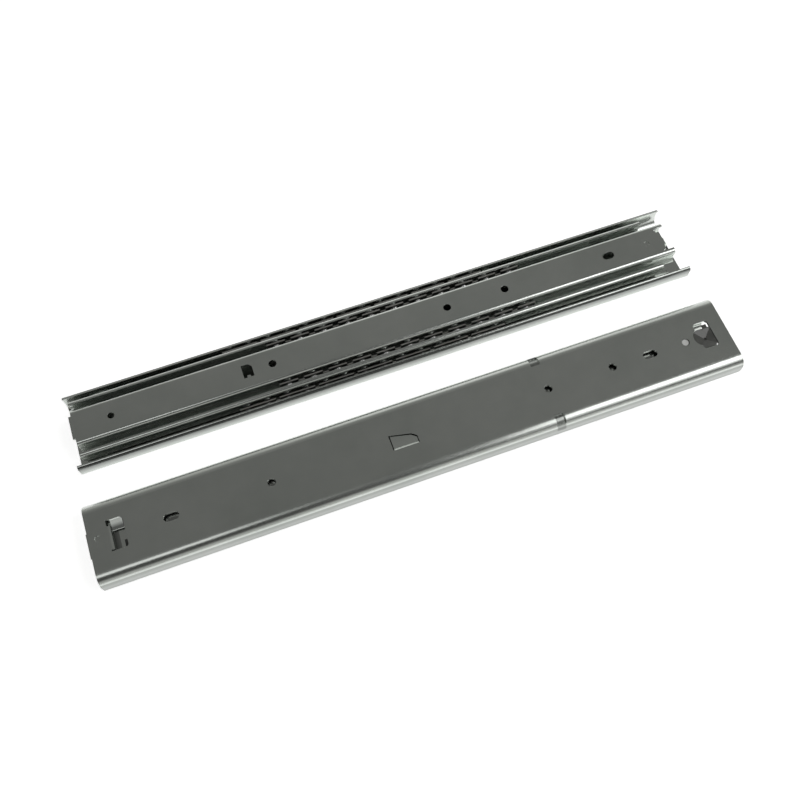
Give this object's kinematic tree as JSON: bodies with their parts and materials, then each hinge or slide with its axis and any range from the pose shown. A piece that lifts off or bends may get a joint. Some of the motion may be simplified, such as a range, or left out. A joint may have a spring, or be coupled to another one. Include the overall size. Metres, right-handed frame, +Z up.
{
  "type": "telescopic slide rail pair",
  "caption": "Pair of three-member telescopic ball-bearing slide rails, closed, one lying on its back and one on its face.",
  "frame": {"origin": "on the floor, under the middle of the pair's bounding box", "axes": "+X along the rails towards their rear ends, so they are pulled out along -X; +Y across, towards the rail that lies open side up; +Z up"},
  "size_m": [0.41, 0.1254, 0.0191],
  "materials": {
    "zinc_sheet": "zinc-plated cold-rolled steel sheet, satin",
    "retainer_steel": "zinc-plated thin steel strip, satin",
    "ball_steel": "polished bearing steel",
    "bumper_plastic": "grey moulded plastic",
    "cap_plastic": "dark grey moulded plastic"
  },
  "bodies": {
    "frame_side": {"first_outer_member": "zinc_sheet", "first_rear_bumper": "bumper_plastic", "second_outer_member": "zinc_sheet", "second_rear_bumper": "bumper_plastic"},
    "first_middle": {"first_middle_member": "zinc_sheet", "first_stop_cap": "cap_plastic"},
    "first_inner": {"first_inner_member": "zinc_sheet"},
    "first_outer_balls_left": {"first_outer_retainer_left": "retainer_steel", "first_outer_balls_left": "ball_steel"},
    "first_outer_balls_right": {"first_outer_retainer_right": "retainer_steel", "first_outer_balls_right": "ball_steel"},
    "first_inner_balls": {"first_inner_retainer": "retainer_steel", "first_inner_balls_left": "ball_steel", "first_inner_balls_right": "ball_steel"},
    "second_middle": {"second_middle_member": "zinc_sheet", "second_stop_cap": "cap_plastic"},
    "second_inner": {"second_inner_member": "zinc_sheet"},
    "second_outer_balls_left": {"second_outer_retainer_left": "retainer_steel", "second_outer_balls_left": "ball_steel"},
    "second_outer_balls_right": {"second_outer_retainer_right": "retainer_steel", "second_outer_balls_right": "ball_steel"},
    "second_inner_balls": {"second_inner_retainer": "retainer_steel", "second_inner_balls_left": "ball_steel", "second_inner_balls_right": "ball_steel"}
  },
  "joints": [
    {"name": "first_middle_slide", "type": "slide", "parent": "frame_side", "child": "first_middle", "axis": [-1, 0, 0], "range_m": [0, 0.2]},
    {"name": "first_inner_slide", "type": "slide", "parent": "first_middle", "child": "first_inner", "axis": [-1, 0, 0], "range_m": [0, 0.1915]},
    {"name": "first_outer_balls_left_slide", "type": "slide", "parent": "frame_side", "child": "first_outer_balls_left", "axis": [-1, 0, 0], "range_m": [0, 0.1]},
    {"name": "first_outer_balls_right_slide", "type": "slide", "parent": "frame_side", "child": "first_outer_balls_right", "axis": [-1, 0, 0], "range_m": [0, 0.1]},
    {"name": "first_inner_balls_slide", "type": "slide", "parent": "first_middle", "child": "first_inner_balls", "axis": [-1, 0, 0], "range_m": [0, 0.09575]},
    {"name": "second_middle_slide", "type": "slide", "parent": "frame_side", "child": "second_middle", "axis": [-1, 0, 0], "range_m": [-0.0035, 0.1965]},
    {"name": "second_inner_slide", "type": "slide", "parent": "second_middle", "child": "second_inner", "axis": [-1, 0, 0], "range_m": [0, 0.1915]},
    {"name": "second_outer_balls_left_slide", "type": "slide", "parent": "frame_side", "child": "second_outer_balls_left", "axis": [-1, 0, 0], "range_m": [-0.00175, 0.09825]},
    {"name": "second_outer_balls_right_slide", "type": "slide", "parent": "frame_side", "child": "second_outer_balls_right", "axis": [-1, 0, 0], "range_m": [-0.00175, 0.09825]},
    {"name": "second_inner_balls_slide", "type": "slide", "parent": "second_middle", "child": "second_inner_balls", "axis": [-1, 0, 0], "range_m": [0, 0.09575]}
  ],
  "couplings": [
    {"joint": "first_outer_balls_left_slide", "follows": "first_middle_slide", "ratio": 0.5},
    {"joint": "first_outer_balls_right_slide", "follows": "first_middle_slide", "ratio": 0.5},
    {"joint": "first_inner_balls_slide", "follows": "first_inner_slide", "ratio": 0.5},
    {"joint": "second_outer_balls_left_slide", "follows": "second_middle_slide", "ratio": 0.5},
    {"joint": "second_outer_balls_right_slide", "follows": "second_middle_slide", "ratio": 0.5},
    {"joint": "second_inner_balls_slide", "follows": "second_inner_slide", "ratio": 0.5}
  ]
}
